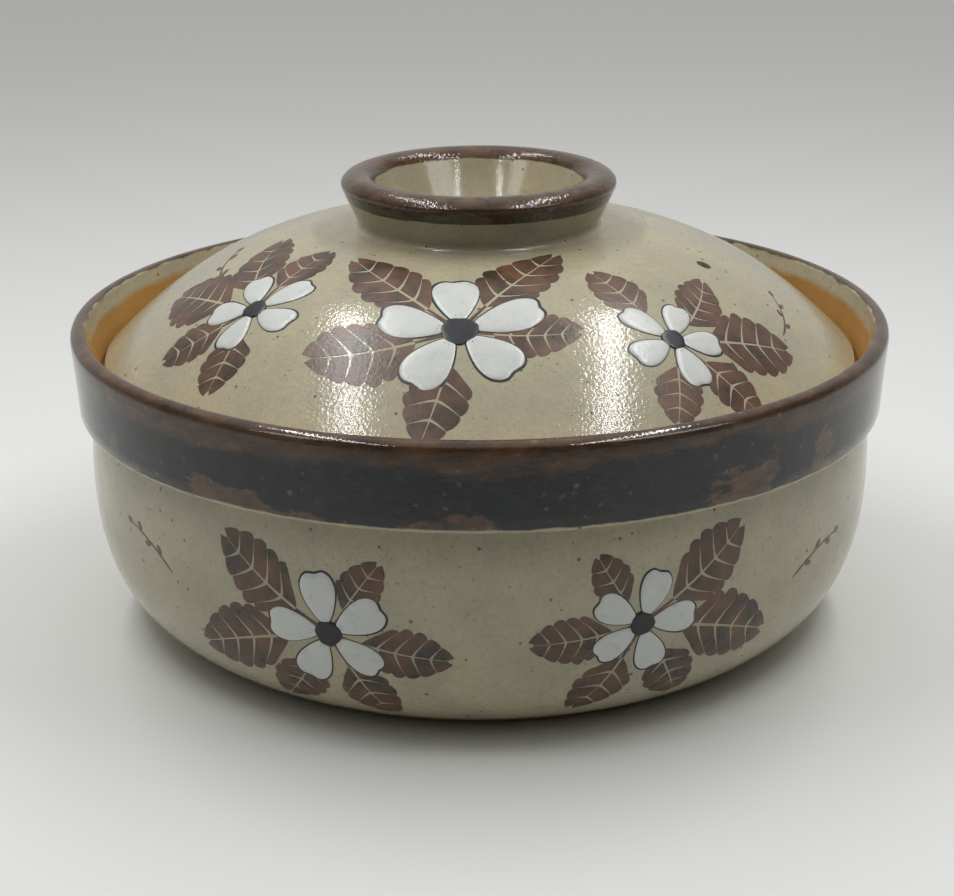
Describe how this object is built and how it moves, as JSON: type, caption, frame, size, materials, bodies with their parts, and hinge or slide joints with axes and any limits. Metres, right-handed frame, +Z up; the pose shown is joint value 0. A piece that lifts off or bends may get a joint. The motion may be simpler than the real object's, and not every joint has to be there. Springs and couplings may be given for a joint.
{
  "type": "lidded casserole dish",
  "caption": "Round stoneware casserole dish with a raised collar, a sunk ledge for its domed lid, a low foot ring and a flared hollow ring knob that lifts the lid off.",
  "frame": {"origin": "on the table, in the middle of the foot ring", "axes": "+Z up along the axis of the turned form; -Y is the decorated front"},
  "size_m": [0.23, 0.23, 0.1266],
  "materials": {
    "dish_glaze": "speckled oatmeal glaze with a near-black iron collar",
    "lid_glaze": "speckled oatmeal glaze",
    "ring_glaze": "iron-brown glaze breaking to oatmeal"
  },
  "bodies": {
    "dish": {"dish_body": "dish_glaze"},
    "lid": {"lid_dome": "lid_glaze", "knob_ring": "ring_glaze"}
  },
  "joints": [
    {"name": "lid_lift", "type": "slide", "parent": "dish", "child": "lid", "axis": [0, 0, 1], "range_m": [0, 0.12]}
  ]
}
